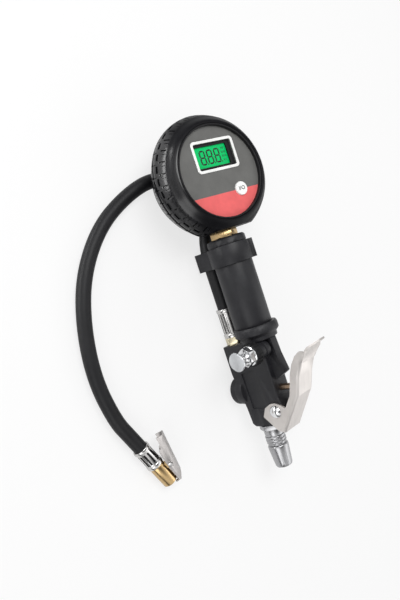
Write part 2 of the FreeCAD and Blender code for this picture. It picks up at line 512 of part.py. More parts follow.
def strip_of(line, t, half):
    below = [(a + t * b2, b - t * a2) for (a, b), (a2, b2) in zip(line, turns_of(line))]
    return face([V(-half, y, z) for y, z in line + below[::-1]]).extrude(V(2 * half, 0, 0))


def turns_of(line):
    """The mitre direction at each corner of a line, as the line's own way there."""
    out = []
    for i in range(len(line)):
        ways = []
        for j in (i - 1, i):
            if 0 <= j < len(line) - 1:
                a, b = line[j + 1][0] - line[j][0], line[j + 1][1] - line[j][1]
                n = math.hypot(a, b)
                ways.append((a / n, b / n))
        a = sum(w[0] for w in ways) / len(ways)
        b = sum(w[1] for w in ways) / len(ways)
        k = a * a + b * b
        out.append((a / k, b / k))
    return out


clip_lever = strip_of(lever_top, CLIP_T, CLIP_HALF)
for x0 in (-CLIP_HALF, CLIP_HALF - CLIP_T):
    clip_lever = clip_lever.fuse(face([V(x0, y, z) for y, z in cheek_line]).extrude(V(CLIP_T, 0, 0)))
clip_lever = clip_lever.cut(box(-1.5, 1.5, JAW_Y - 1, JAW_Y + 3, 0, 6.0))
far["chuck_lever"] = clip_lever.cut(rod(1.2 + FIT, PIN_AT - X * 10, 20, X)).removeSplitter()
far["chuck_lever_pin"] = rod(1.2, PIN_AT - X * (CLIP_HALF + 0.8), 2 * CLIP_HALF + 1.6, X).fuse(
    rod(1.9, PIN_AT - X * (CLIP_HALF + 1.0), 0.9, X)).fuse(rod(1.9, PIN_AT + X * (CLIP_HALF + 0.1), 0.9, X))
far["chuck_spring"] = ring(1.9, 1.3, PIN_AT + X * 1.95, 0.6, X)

# ---- placing: body frame, slope, then the row frame on the table ----
for name, shape in parts.items():
    if frames[name] == "body":
        shape.rotate(V(0, 0, 0), Y, CLOCK)
    shape.rotate(V(0, 0, 0), X, -REST_TILT)
whole = Part.makeCompound([s for n, s in parts.items() if n != "hose_ferrule"]).BoundBox
MOVE = V(-(whole.XMin + whole.XMax) / 2, -(whole.YMin + whole.YMax) / 2, -whole.ZMin)
for shape in parts.values():
    shape.translate(MOVE)


def row(point, clocked=True):
    """A point of the body frame, or of the tool frame, in the row frame."""
    turn = FreeCAD.Rotation(X, -REST_TILT)
    if clocked:
        turn = turn.multiply(FreeCAD.Rotation(Y, CLOCK))
    return turn.multVec(point) + MOVE


# ---- hose: held beside the handle, then under the head, round on the table and back beside it ----
LIE = HOSE_R + 0.05
END_Z = FAR_FERRULE_R + 0.1
start = row(V(0, HOSE_START, HOSE_L))
held = row(V(0, CLIP_HIGH + 1.5, HOSE_L))
hose_points = [start, held]
laid = [(4.9, 91.0), (3.4, 114.0), (-10.9, 132.5), (-33.2, 139.5), (-61.0, 131.0), (-91.6, 112.2),
        (-116.2, 79.5), (-128.6, 41.5), (-133.0, 0.5), (-127.2, -36.0)]
for x, y in laid:
    hose_points.append(V(x + MOVE.x, y + MOVE.y, LIE))
finish = V(-108.0 + MOVE.x, -79.2 + MOVE.y, END_Z)
before = hose_points[-1]
way = finish - V(before.x, before.y, END_Z)
way.normalize()
hose_points.append(finish - way * 30)
hose_points[-1].z = END_Z
hose_points.append(finish)


def path_wire(points):
    edges = []
    bends = []
    at = points[0]
    for i in range(1, len(points) - 1):
        p, q, r = points[i - 1], points[i], points[i + 1]
        a, b = (p - q), (r - q)
        turn = math.pi - a.getAngle(b)
        radius = 0.45 * min(a.Length, b.Length) / math.tan(turn / 2)
        cut = radius * math.tan(turn / 2)
        a.normalize()
        b.normalize()
        first, last = q + a * cut, q + b * cut
        half = (a + b).normalize()
        middle = q + half * (radius / math.cos(turn / 2) - radius)
        edges.append(Part.LineSegment(at, first).toShape())
        edges.append(Part.Arc(first, middle, last).toShape())
        bends.append(round(radius, 1))
        at = last
    edges.append(Part.LineSegment(at, points[-1]).toShape())
    return Part.Wire(edges), bends


path, bends = path_wire(hose_points)
first_way = (hose_points[1] - hose_points[0]).normalize()
circles = [Part.Wire([Part.makeCircle(r, hose_points[0], first_way)]) for r in (HOSE_R, HOSE_BORE)]
tubes = [path.makePipeShell([c], True, False) for c in circles]
hose = tubes[0].cut(tubes[1])
parts["hose"] = hose
print("hose length", round(path.Length, 1), "bend radii", bends)
print("hose volume", round(hose.Volume), "expected",
      round(math.pi * (HOSE_R**2 - HOSE_BORE**2) * path.Length))

heading = math.degrees(math.atan2(way.y, way.x)) - 90
for name, shape in far.items():
    shape.rotate(V(0, 0, 0), Y, CHUCK_ROLL)
    shape.translate(V(0, -(FAR_FERRULE_LENGTH - 2.5), 0))
    shape.rotate(V(0, 0, 0), Z, heading)
    shape.translate(finish)
    parts[name] = shape

for name, shape in parts.items():
    shape.exportStep("parts/" + name + ".step")
print("move", MOVE, "nodes", len(parts))
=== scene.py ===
import bpy
import json
import math
from mathutils import Matrix, Vector

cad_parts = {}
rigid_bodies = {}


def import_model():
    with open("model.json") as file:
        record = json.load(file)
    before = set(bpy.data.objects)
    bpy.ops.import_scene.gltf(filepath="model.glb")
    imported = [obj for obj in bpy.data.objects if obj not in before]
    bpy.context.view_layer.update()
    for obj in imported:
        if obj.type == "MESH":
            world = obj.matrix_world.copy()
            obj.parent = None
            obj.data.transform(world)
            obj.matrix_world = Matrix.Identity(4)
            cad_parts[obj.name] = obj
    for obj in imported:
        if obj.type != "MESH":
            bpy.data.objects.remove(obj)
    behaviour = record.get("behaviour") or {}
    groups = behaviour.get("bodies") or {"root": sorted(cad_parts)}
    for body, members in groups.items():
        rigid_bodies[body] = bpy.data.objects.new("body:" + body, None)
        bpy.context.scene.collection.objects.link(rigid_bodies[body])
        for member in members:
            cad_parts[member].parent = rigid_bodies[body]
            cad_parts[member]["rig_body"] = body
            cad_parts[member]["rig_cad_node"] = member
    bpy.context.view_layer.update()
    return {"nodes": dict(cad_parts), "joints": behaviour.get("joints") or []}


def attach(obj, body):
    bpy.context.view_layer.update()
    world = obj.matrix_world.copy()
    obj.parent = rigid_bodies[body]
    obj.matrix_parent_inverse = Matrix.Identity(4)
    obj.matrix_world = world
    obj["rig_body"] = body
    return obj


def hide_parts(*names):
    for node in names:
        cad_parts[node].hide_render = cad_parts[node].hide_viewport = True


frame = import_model()
nodes = frame["nodes"]
joints = {j["name"]: j for j in frame["joints"]}

# ---- camera ----
# The tool lies on its back on a table and is seen from above, from its left and a little below the
# dial's middle.
lens = bpy.data.cameras.new("view")
camera = bpy.data.objects.new("view", lens)
bpy.context.scene.collection.objects.link(camera)
right = Vector((0.81168, -0.28443, 0.51017))
up = Vector((0.29837, 0.95278, 0.05648))
back = right.cross(up)
stand_at = Matrix.Translation((-0.27018, 0.05811, 0.42846))
camera.matrix_world = stand_at @ Matrix((right, up, back)).transposed().to_4x4()
lens.sensor_width = 36
lens.lens = 34.49
lens.clip_start = 0.01
bpy.context.scene.camera = camera

# ---- hose ----
# An extruded rubber air hose, 12 mm across. It is held beside the grip, turns under the gauge head,
# and lies round on the table to the chuck.
# TOOL places millimetres along the handle's axis, and BODY the same turned round it to the lever.
MM = 0.001
PIVOT = Vector((0, -73, 3.5))
TILT = Matrix.Rotation(math.radians(-3.2), 4, "X")
CLOCK = Matrix.Rotation(math.radians(13), 4, "Y")
MOVE = Vector(joints["lever_hinge"]["pos_m"]) - (TILT @ CLOCK @ PIVOT) * MM
TOOL = Matrix.Translation(MOVE) @ TILT @ Matrix.Scale(MM, 4)
BODY = Matrix.Translation(MOVE) @ TILT @ CLOCK @ Matrix.Scale(MM, 4)


class Wire:
    """One value that runs between shader nodes. Sums on it add Math nodes."""

    def __init__(self, finish, end):
        self.finish = finish
        self.end = end

    def sum(self, word, a, b=0.0):
        return self.finish.add("Math", {"operation": word}, {0: a, 1: b})

    def __add__(self, other):
        return self.sum("ADD", self, other)

    def __radd__(self, other):
        return self.sum("ADD", other, self)

    def __mul__(self, other):
        return self.sum("MULTIPLY", self, other)


class Finish:
    """A surface's material: nodes are added to it, and its Principled shader is set by name."""

    def __init__(self, name, **values):
        self.made = bpy.data.materials.new(name)
        self.made.use_nodes = True
        self.tree = self.made.node_tree
        self.shader = self.tree.nodes["Principled BSDF"]
        self.set(**values)

    def add(self, kind, settings, values, out=0):
        node = self.tree.nodes.new("ShaderNode" + kind)
        for key, value in settings.items():
            if key == "stops":
                ramp = node.color_ramp.elements
                while len(ramp) < len(value):
                    ramp.new(0.5)
                for step, (place, colour) in zip(ramp, value):
                    step.position = place
                    step.color = (*colour, 1)
            else:
                setattr(node, key, value)
        self.join(node, values)
        return Wire(self, node.outputs[out])

    def join(self, node, values):
        for key, value in values.items():
            if isinstance(value, Wire):
                self.tree.links.new(value.end, node.inputs[key])
            elif isinstance(value, tuple) and node.inputs[key].type == "RGBA":
                node.inputs[key].default_value = (*value, 1)
            else:
                node.inputs[key].default_value = value

    def set(self, **values):
        self.join(self.shader, {key.replace("_", " "): value for key, value in values.items()})

    def place(self):
        return self.add("TexCoord", {}, {}, "Object")

    def noise(self, scale, detail=3.0, rough=0.55, stretch=(1, 1, 1)):
        where = self.add("Mapping", {}, {"Vector": self.place(), "Scale": stretch})
        return self.add("TexNoise", {}, {"Vector": where, "Scale": scale, "Detail": detail, "Roughness": rough})

    def shade(self, amount, low, high):
        return self.add("ValToRGB", {"stops": [(0.3, low), (0.7, high)]}, {"Fac": amount})

    def bump(self, height, depth, strength=0.4):
        self.set(Normal=self.add("Bump", {}, {"Height": height, "Distance": depth, "Strength": strength}))


def dark_rubber(name, colour, gloss, grain=1500.0, shine=0.3):
    """Moulded black rubber: a fine grain, soft uneven sheen and a little dust."""
    skin = Finish(name)
    cloud = skin.noise(55.0, 4.0)
    fine = skin.noise(grain, 2.0)
    light = tuple(c * 1.6 + 0.002 for c in colour)
    skin.set(Base_Color=skin.shade(cloud, colour, light), Roughness=gloss + cloud * 0.14 + fine * 0.06)
    skin.shader.inputs["Specular IOR Level"].default_value = shine
    skin.bump(fine, 0.00012, 0.35)
    return skin


def on_table(x, y, height):
    """A point of the hose's middle, in millimetres beside the handle and above the table."""
    return Vector((x * MM + MOVE.x, y * MM + MOVE.y, height * MM))


HOSE_L = -26
LIE, END_LIE = 6.05, 7.3
lying = [(4.9, 91.0), (3.4, 114.0), (-10.9, 132.5), (-33.2, 139.5), (-61.0, 131.0), (-91.6, 112.2), (-116.2, 79.5),
         (-128.6, 41.5), (-133.0, 0.5), (-127.2, -36.0)]
hose_end = on_table(-108.0, -79.2, END_LIE)
chuck_way = (hose_end - on_table(*lying[-1], END_LIE)).normalized()
hose_start = BODY @ Vector((0, -4, HOSE_L))
route = [hose_start, BODY @ Vector((0, 30, HOSE_L)), BODY @ Vector((0, 71, HOSE_L))]
route += [on_table(x, y, LIE) for x, y in lying]
route += [hose_end - chuck_way * 0.030, hose_end]
line = bpy.data.curves.new("hose_tube", "CURVE")
line.dimensions = "3D"
spline = line.splines.new("NURBS")
spline.points.add(len(route) - 1)
for point, at in zip(spline.points, route):
    point.co = (*at, 1)
spline.order_u = 3
spline.use_endpoint_u = True
spline.resolution_u = 10
line.bevel_depth = 0.006
line.bevel_resolution = 8
line.use_fill_caps = True
hose = bpy.data.objects.new("hose_tube", line)
bpy.context.scene.collection.objects.link(hose)
hose_skin = dark_rubber("hose rubber", (0.0045, 0.0045, 0.0055), 0.38, 900.0)
line.materials.append(hose_skin.made)
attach(hose, "tool")
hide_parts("hose")

# ---- floor and light ----
# A plain pale table and a wide soft studio light, with two softer panels for the metal to show.
bpy.ops.object.select_all(action="DESELECT")
bpy.ops.mesh.primitive_plane_add(size=12, location=(0, 0, 0))
floor = bpy.context.object
floor.name = "floor"
paper = Finish("floor paper", Base_Color=(0.86, 0.86, 0.86), Roughness=0.9)
seen = paper.add("LightPath", {}, {}, "Is Camera Ray")
shown = paper.add("LightPath", {}, {}, "Is Glossy Ray") + paper.add("LightPath", {}, {}, "Is Transmission Ray")
glow = paper.add("Emission", {}, {"Color": (1.0, 1.0, 1.0), "Strength": 1.0})
both = paper.add("MixShader", {}, {0: seen * 0.72 + shown * 0.3, 1: Wire(paper, paper.shader.outputs[0]), 2: glow})
paper.join(paper.tree.nodes["Material Output"], {"Surface": both})
floor.data.materials.append(paper.made)

world = bpy.data.worlds.new("studio")
bpy.context.scene.world = world
world.use_nodes = True
sky = world.node_tree
back_shade = sky.nodes["Background"]
rays = sky.nodes.new("ShaderNodeLightPath")
flat = sky.nodes.new("ShaderNodeBackground")
flat.inputs["Color"].default_value = (1, 1, 1, 1)
mix = sky.nodes.new("ShaderNodeMixShader")
where = sky.nodes.new("ShaderNodeTexCoord")
height = sky.nodes.new("ShaderNodeSeparateXYZ")
fade = sky.nodes.new("ShaderNodeValToRGB")
while len(fade.color_ramp.elements) < 5:
    fade.color_ramp.elements.new(0.5)
heights = ((0.05, 0.05), (0.32, 0.30), (0.55, 1.0), (0.82, 0.95), (0.94, 0.15))
for stop, (place, shade) in zip(fade.color_ramp.elements, heights):
    stop.position = place
    stop.color = (shade, shade, shade, 1)
sky.links.new(where.outputs["Generated"], height.inputs[0])
sky.links.new(height.outputs[2], fade.inputs[0])
sky.links.new(fade.outputs[0], back_shade.inputs["Color"])
brighter = sky.nodes.new("ShaderNodeMath")
brighter.operation = "MULTIPLY_ADD"
brighter.inputs[1].default_value = 0.38
brighter.inputs[2].default_value = 0.62
sky.links.new(rays.outputs["Is Glossy Ray"], brighter.inputs[0])
sky.links.new(brighter.outputs[0], back_shade.inputs["Strength"])
pale = sky.nodes.new("ShaderNodeMath")
pale.operation = "MAXIMUM"
sky.links.new(rays.outputs["Is Camera Ray"], pale.inputs[0])
sky.links.new(rays.outputs["Is Transmission Ray"], pale.inputs[1])
sky.links.new(pale.outputs[0], mix.inputs[0])
sky.links.new(back_shade.outputs[0], mix.inputs[1])
sky.links.new(flat.outputs[0], mix.inputs[2])
sky.links.new(mix.outputs[0], sky.nodes["World Output"].inputs["Surface"])
bpy.context.scene.view_settings.view_transform = "Standard"


def panel(name, at, aim, wide, high, power):
    """A soft box: a square lamp at a place, aimed at a point."""
    lamp = bpy.data.lights.new(name, "AREA")
    lamp.shape = "RECTANGLE"
    lamp.size = wide
    lamp.size_y = high
    lamp.energy = power
    obj = bpy.data.objects.new(name, lamp)
    bpy.context.scene.collection.objects.link(obj)
    obj.location = at
    obj.rotation_euler = (Vector(aim) - Vector(at)).to_track_quat("-Z", "Y").to_euler()


panel("key", (-0.1, 0.45, 1.0), (0, 0.02, 0.03), 0.7, 0.5, 6.5)
panel("fill", (0.80, -0.54, 0.42), (0, -0.02, 0.04), 1.2, 0.8, 3.6)
panel("front", (-0.8, -0.5, 0.6), (0, 0, 0.03), 0.6, 0.6, 2.0)
panel("strip", (-0.46, 0.37, 0.06), (-0.04, 0.11, 0.05), 0.62, 0.11, 1.7)

# ---- rubber boot with a tyre tread ----
# One moulding of soft black rubber, made like a small car tyre and stretched over the gauge's case.
# Its side wall is smooth, and its tread has grooves round it and short slits across.
def one_point(name):
    """A new mesh with a single vertex at the origin, in edit mode."""
    bpy.ops.object.select_all(action="DESELECT")
    bpy.ops.mesh.primitive_plane_add(size=0.1, location=(0, 0, 0))
    obj = bpy.context.object
    obj.name = name
    bpy.ops.object.mode_set(mode="EDIT")
    bpy.ops.mesh.merge(type="CENTER")
    return obj


def draw(points):
    """Draws a line of edges through the points, from the single vertex at the origin."""
    here = Vector((0, 0, 0))
    for i, point in enumerate(points):
        step = tuple(Vector(point) - here)
        if i == 0:
            bpy.ops.transform.translate(value=step)
        else:
            bpy.ops.mesh.extrude_region_move(TRANSFORM_OT_translate={"value": step})
        here = Vector(point)


def close_up():
    """Merges doubles, turns the faces outwards and leaves edit mode."""
    bpy.ops.mesh.select_all(action="SELECT")
    bpy.ops.mesh.remove_doubles(threshold=0.002)
    bpy.ops.mesh.normals_make_consistent(inside=False)
    bpy.ops.object.mode_set(mode="OBJECT")


def turned(name, profile, at=(0, 0, 0), way=(0, 1, 0), side=(1, 0, 0), steps=64):
    """A piece turned on a lathe: (radius, distance along way) pairs, spun round way through at."""
    at, way, side = Vector(at), Vector(way), Vector(side)
    obj = one_point(name)
    draw([at + side * r + way * a for r, a in profile])
    bpy.ops.mesh.select_all(action="SELECT")
    bpy.ops.mesh.spin(steps=steps, angle=math.tau, center=tuple(at), axis=tuple(way))
    close_up()
    return obj


def soften(obj, width, rows=2, angle=30):
    """Rounds the sharp edges and smooths the shading between them."""
    bpy.ops.object.select_all(action="DESELECT")
    bpy.context.view_layer.objects.active = obj
    obj.select_set(True)
    if width:
        edge = obj.modifiers.new("edge", "BEVEL")
        edge.width = width
        edge.segments = rows
        edge.limit_method = "ANGLE"
        edge.angle_limit = math.radians(angle)
        bpy.ops.object.modifier_apply(modifier=edge.name)
    bpy.ops.object.shade_smooth_by_angle(angle=math.radians(angle))
    return obj


def seat(obj, place, finish, slot, rides, *stands_for):
    """Puts a finished piece in its place in the frame, with its material, body and CAD nodes."""
    obj.data.transform(place)
    obj.data.materials.clear()
    obj.data.materials.append(finish.made)
    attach(obj, rides)
    if stands_for:
        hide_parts(*stands_for)
    return obj


dial = Vector((0, 126, 0))
Z_UP, X_OUT = (0, 0, 1), (1, 0, 0)
boot_profile = [
    (34.0, -18.6), (38.6, -18.6), (40.4, -18.0), (42.0, -15.6), (44.4, -10.4), (45.6, -8.7), (46.6, -6.0),
    (48.4, -2.2), (49.3, -0.1), (49.8, 1.0), (50.3, 2.4), (50.5, 3.95), (50.6, 6.05), (50.5, 7.6), (50.2, 9.7),
    (49.5, 11.6), (48.9, 12.9), (48.1, 14.8), (46.3, 18.2), (45.6, 18.9), (44.6, 19.9), (43.5, 21.3),
    (42.2, 22.9), (41.0, 24.1), (40.1, 24.7), (39.4, 24.85),
    (38.8, 24.6), (38.3, 24.0), (38.3, 22.95), (40.65, 22.95), (40.65, -16.55), (34.0, -16.55), (34.0, -18.6),
]
BLOCKS = 32
COLUMNS = 16
TREAD_INSIDE = 41
boot = turned("tyre_boot", boot_profile, dial, Z_UP, X_OUT, BLOCKS * COLUMNS)


def pick_faces(obj, wanted):
    """Selects the faces whose middle passes a test, and opens edit mode on them."""
    bpy.ops.object.select_all(action="DESELECT")
    bpy.context.view_layer.objects.active = obj
    obj.select_set(True)
    bpy.ops.object.mode_set(mode="EDIT")
    bpy.ops.mesh.select_mode(type="FACE")
    bpy.ops.mesh.select_all(action="DESELECT")
    bpy.ops.object.mode_set(mode="OBJECT")
    for poly in obj.data.polygons:
        poly.select = wanted(poly.center, poly.normal)
    bpy.ops.object.mode_set(mode="EDIT")


def sink(obj, wanted, depth):
    """Pushes the chosen faces in along their normals, leaving walls."""
    pick_faces(obj, wanted)
    bpy.ops.mesh.extrude_region_shrink_fatten(TRANSFORM_OT_shrink_fatten={"value": -depth})
    bpy.ops.mesh.select_mode(type="VERT")
    bpy.ops.object.mode_set(mode="OBJECT")


def slit(column, low, high):
    """A test for the tread's slits: which of a block's columns, and between which heights."""
    def wanted(middle, normal):
        x, y = middle.x, middle.y - dial.y
        if not low < middle.z < high or math.hypot(x, y) < TREAD_INSIDE:
            return False
        turn = math.degrees(math.atan2(y, x)) % 360
        return int(turn / (360 / BLOCKS / COLUMNS)) % COLUMNS in column
    return wanted


sink(boot, slit(range(COLUMNS), 3.95, 6.05), 2.2)
for columns, low, high, depth in (
    ((0, 1), 12.9, 18.2, 1.2), ((6,), 14.8, 18.2, 0.9), (range(5, 14), 9.7, 11.6, 1.5),
    ((2,), 6.05, 9.7, 1.0), ((0, 1), 1.0, 3.95, 1.6), (range(3, 12), -0.1, 1.0, 1.4),
    ((8, 9), -6.0, -2.2, 1.6), ((0, 1), -2.2, -0.1, 1.4),
):
    sink(boot, slit(columns, low, high), depth)


def box_tool(low, high):
    """A plain cutter that reaches from one corner to another."""
    bpy.ops.object.select_all(action="DESELECT")
    middle = (Vector(low) + Vector(high)) / 2
    bpy.ops.mesh.primitive_cube_add(size=1, location=middle, scale=Vector(high) - Vector(low))
    bpy.ops.object.transform_apply(location=True, scale=True)
    return bpy.context.object


def cut(obj, cutter):
    """Cuts a piece with another, which is used up."""
    bpy.ops.object.select_all(action="DESELECT")
    bpy.context.view_layer.objects.active = obj
    obj.select_set(True)
    knife = obj.modifiers.new("cut", "BOOLEAN")
    knife.object = cutter
    knife.operation = "DIFFERENCE"
    knife.solver = "EXACT"
    bpy.ops.object.modifier_apply(modifier=knife.name)
    bpy.data.objects.remove(cutter)
    return obj


NECK_FLAT = dial.y - 44.2
cut(boot, box_tool((-40, 60, -30), (40, NECK_FLAT, 30)))
soften(boot, 0.22, 2, 32)
boot_skin = dark_rubber("boot rubber", (0.003, 0.003, 0.004), 0.32, 1300.0, 0.10)
across = boot_skin.add("SeparateXYZ", {}, {"Vector": boot_skin.place()}, 0)
height = boot_skin.add("SeparateXYZ", {}, {"Vector": boot_skin.place()}, 2)


def fade_between(finish, value, start, stop, most=1.0):
    """Rises smoothly from nothing at one value to the most at another."""
    return finish.add("MapRange", {"interpolation_type": "SMOOTHSTEP"}, {
        "Value": value, "From Min": start, "From Max": stop, "To Min": 0.0, "To Max": most})


on_tread = fade_between(boot_skin, height, MOVE.z + 0.0200, MOVE.z + 0.0165)
on_tread = on_tread * fade_between(boot_skin, across, MOVE.x - 0.026, MOVE.x - 0.038, 0.9)
boot_skin.set(Coat_Weight=on_tread)
boot_skin.shader.inputs["Coat Roughness"].default_value = 0.2
seat(boot, TOOL, boot_skin, "boot_rubber", "tool", "gauge_boot")

# ---- gauge case, board and what is inside ----
# A moulded plastic cup closed by the dial, with the board, cell and sensor in it.
def moulded(name, colour, gloss, grain=2200.0, depth=0.00006):
    """Injection-moulded plastic: an even colour, slight clouding and a spark-eroded grain."""
    skin = Finish(name)
    cloud = skin.noise(90.0, 3.0)
    fine = skin.noise(grain, 2.0)
    light = tuple(min(1.0, c * 1.18 + 0.003) for c in colour)
    skin.set(Base_Color=skin.shade(cloud, colour, light), Roughness=gloss + cloud * 0.1 + fine * 0.04)
    skin.shader.inputs["Specular IOR Level"].default_value = 0.25
    skin.bump(fine, depth, 0.3)
    return skin


def cast_paint(name, colour, gloss, grain=1400.0):
    """Satin black paint over metal: a faint orange peel and worn sheen."""
    skin = Finish(name)
    peel = skin.noise(grain, 2.0)
    cloud = skin.noise(70.0, 5.0, 0.65)
    light = tuple(c * 1.5 + 0.003 for c in colour)
    skin.set(Base_Color=skin.shade(cloud, colour, light), Roughness=gloss + cloud * 0.16 + peel * 0.05)
    skin.set(Coat_Weight=0.06)
    skin.shader.inputs["Coat Roughness"].default_value = 0.3
    skin.shader.inputs["Specular IOR Level"].default_value = 0.3
    skin.bump(peel, 0.00008, 0.35)
    return skin


def bare_metal(name, colour, gloss, lines=(1, 1, 1), scale=900.0, depth=0.000004):
    """Bare or plated metal: fine tool lines one way, with soft changes in tone and gloss."""
    skin = Finish(name, Metallic=1.0)
    marks = skin.noise(scale, 3.0, 0.6, lines)
    cloud = skin.noise(60.0, 4.0, 0.6)
    dark = tuple(c * 0.86 for c in colour)
    tone = marks * 0.6 + cloud * 0.4
    skin.set(Base_Color=skin.shade(tone, dark, colour), Roughness=gloss + marks * 0.1 + cloud * 0.06)
    skin.bump(marks, depth, 0.3)
    return skin


case_black = moulded("case plastic", (0.006, 0.006, 0.007), 0.42)
gloss_white = moulded("white plastic", (0.86, 0.86, 0.84), 0.22, 1500.0, 0.00002)
board_green = moulded("board lacquer", (0.01, 0.12, 0.05), 0.35)
soft_black = moulded("black plastic", (0.008, 0.008, 0.009), 0.5)
steel = bare_metal("bright steel", (0.58, 0.575, 0.57), 0.16, (1, 0.06, 1))
brass = bare_metal("turned brass", (0.66, 0.47, 0.24), 0.14, (1, 0.05, 1))
chuck_brass = bare_metal("chuck brass", (0.62, 0.44, 0.22), 0.13, (1, 1, 1))
pale_brass = bare_metal("plated brass", (0.86, 0.78, 0.56), 0.20, (1, 0.05, 1))
bronze = bare_metal("drawn bronze", (0.46, 0.33, 0.23), 0.30, (1, 0.05, 1))
alloy = bare_metal("drawn alloy", (0.70, 0.71, 0.72), 0.28, (1, 0.05, 1))
seal_black = dark_rubber("seal rubber", (0.012, 0.012, 0.012), 0.5)
inside = {
    "gauge_case": case_black, "circuit_board": board_green, "display_backlight": gloss_white,
    "tact_switch": soft_black, "battery_cell": steel, "battery_holder": soft_black, "board_screws": steel,
    "stem_nut": brass, "pressure_sensor": steel, "air_tube": alloy, "valve_seat": brass,
    "valve_spring": steel, "cap_seal": seal_black, "inlet_screen": steel, "chuck_seal": seal_black,
    "chuck_depressor": brass, "chuck_spring": steel, "valve_pin": bronze,
}


def paint(node, finish):
    """Gives a CAD node its material."""
    nodes[node].data.materials.clear()
    nodes[node].data.materials.append(finish.made)


for node, finish in inside.items():
    paint(node, finish)

# ---- dial, bezel and display ----
# A printed dial with a coloured lower part, a black bezel ring, and a backlit display behind a
# recessed black mask in a white frame.
bezel = turned("bezel", [(36.9, 21.1), (40.6, 21.1), (40.6, 22.9), (38.25, 22.9), (38.25, 24.0), (37.9, 24.4),
                         (37.2, 24.4), (36.9, 24.1), (36.9, 21.1)], dial, Z_UP, X_OUT, 128)
soften(bezel, 0.15)
seat(bezel, TOOL, case_black, "bezel_plastic", "tool", "bezel_ring")
dial_grey = moulded("dial print", (0.125, 0.125, 0.120), 0.42, 3000.0, 0.00001)
dial_red = moulded("dial red print", (0.74, 0.13, 0.13), 0.42, 3000.0, 0.00001)
paint("dial_plate", dial_grey)
paint("dial_band", dial_red)
paint("display_mask", soft_black)

lcd = Finish("display glass", Roughness=0.22)
spread = lcd.noise(60.0, 2.0)
lcd.set(Base_Color=lcd.shade(spread, (0.0, 0.40, 0.11), (0.0, 0.48, 0.14)), Emission_Color=(0.0, 0.55, 0.10))
lcd.set(Emission_Strength=0.26)
lcd.shader.inputs["Specular IOR Level"].default_value = 0.2
paint("display_panel", lcd)


def rounded_block(name, middle, wide, high, low, top, corner):
    """A flat block with rounded corners, standing from low to top."""
    x, y = middle
    block = box_tool((x - wide / 2, y - high / 2, low), (x + wide / 2, y + high / 2, top))
    block.name = name
    bpy.ops.object.mode_set(mode="EDIT")
    bpy.ops.mesh.select_mode(type="EDGE")
    bpy.ops.mesh.select_all(action="DESELECT")
    bpy.ops.object.mode_set(mode="OBJECT")
    for edge in block.data.edges:
        a, b = (block.data.vertices[v].co for v in edge.vertices)
        edge.select = abs(a.z - b.z) > 0.01
    bpy.ops.object.mode_set(mode="EDIT")
    bpy.ops.mesh.bevel(offset=corner, segments=6, affect="EDGES")
    bpy.ops.mesh.select_mode(type="VERT")
    bpy.ops.object.mode_set(mode="OBJECT")
    return block


window = (0.6, dial.y + 13.6)
rim = rounded_block("display_rim", window, 40.6, 25.5, 21.1, 22.0, 3.2)
cut(rim, rounded_block("rim_hole", window, 36.2, 21.1, 10, 30, 1.5))
soften(rim, 0.25, 3)
seat(rim, TOOL, gloss_white, "white_plastic", "tool", "display_frame")

ink = Finish("display ink", Base_Color=(0.002, 0.012, 0.006), Roughness=0.3)
faint_ink = Finish("faint ink", Base_Color=(0.0, 0.10, 0.04), Roughness=0.3)
PANEL_TOP = 17.9
mark_top = PANEL_TOP + 0.06


def flat_mark(name, points):
    """A thin printed shape on the display's face."""
    obj = one_point(name)
    draw([(x, y, mark_top - 0.1) for x, y in points])
    bpy.ops.mesh.select_all(action="SELECT")
    bpy.ops.mesh.edge_face_add()
    bpy.ops.mesh.extrude_region_move(TRANSFORM_OT_translate={"value": (0, 0, 0.1)})
    close_up()
    return obj


DIGIT_W, DIGIT_H, BAR = 4.3, 10.6, 1.25


def bar_shape(x0, y0, x1, y1):
    """A display segment's outline from one end to the other, with pointed ends."""
    a, b = Vector((x0, y0)), Vector((x1, y1))
    w = (b - a).normalized()
    n = Vector((-w.y, w.x)) * BAR / 2
    a, b = a + w * 0.12, b - w * 0.12
    i = w * BAR / 2
    return [a, a + i + n, b - i + n, b, b - i - n, a + i - n]


marks = []
for column in range(3):
    x0 = -11.1 + column * 7.0
    y0 = window[1] - DIGIT_H / 2
    x1, y1, ym = x0 + DIGIT_W, y0 + DIGIT_H, y0 + DIGIT_H / 2
    for ends in ((x0, y0, x1, y0), (x0, ym, x1, ym), (x0, y1, x1, y1), (x0, y0, x0, ym), (x0, ym, x0, y1),
                 (x1, y0, x1, ym), (x1, ym, x1, y1)):
        marks.append(flat_mark("digit_bar", bar_shape(*ends)))
    x, y = x1 + 1.3, y0 - 0.1
    square = [(x + i, y + j) for i, j in ((-0.5, -0.5), (0.5, -0.5), (0.5, 0.5), (-0.5, 0.5))]
    marks.append(flat_mark("digit_dot", square))


def weld(name, pieces):
    """Joins meshes into one piece."""
    bpy.ops.object.select_all(action="DESELECT")
    for piece in pieces:
        piece.select_set(True)
    bpy.context.view_layer.objects.active = pieces[0]
    bpy.ops.object.join()
    pieces[0].name = name
    return pieces[0]


digits = weld("display_digits", marks)
seat(digits, TOOL, ink, "mask_black", "tool")


def lettering(name, word, middle, height, top, thick=0.06):
    """Small plain capitals, printed flat and centred on a place."""
    text = bpy.data.curves.new(name, "FONT")
    text.body = word
    text.size = height
    text.align_x = "CENTER"
    text.align_y = "CENTER"
    text.extrude = thick
    text.offset = 0.012 * height
    text.resolution_u = 2
    obj = bpy.data.objects.new(name, text)
    bpy.context.scene.collection.objects.link(obj)
    bpy.ops.object.select_all(action="DESELECT")
    bpy.context.view_layer.objects.active = obj
    obj.select_set(True)
    bpy.ops.object.convert(target="MESH")
    obj = bpy.context.object
    obj.data.transform(Matrix.Translation((middle[0], middle[1], top)))
    return obj


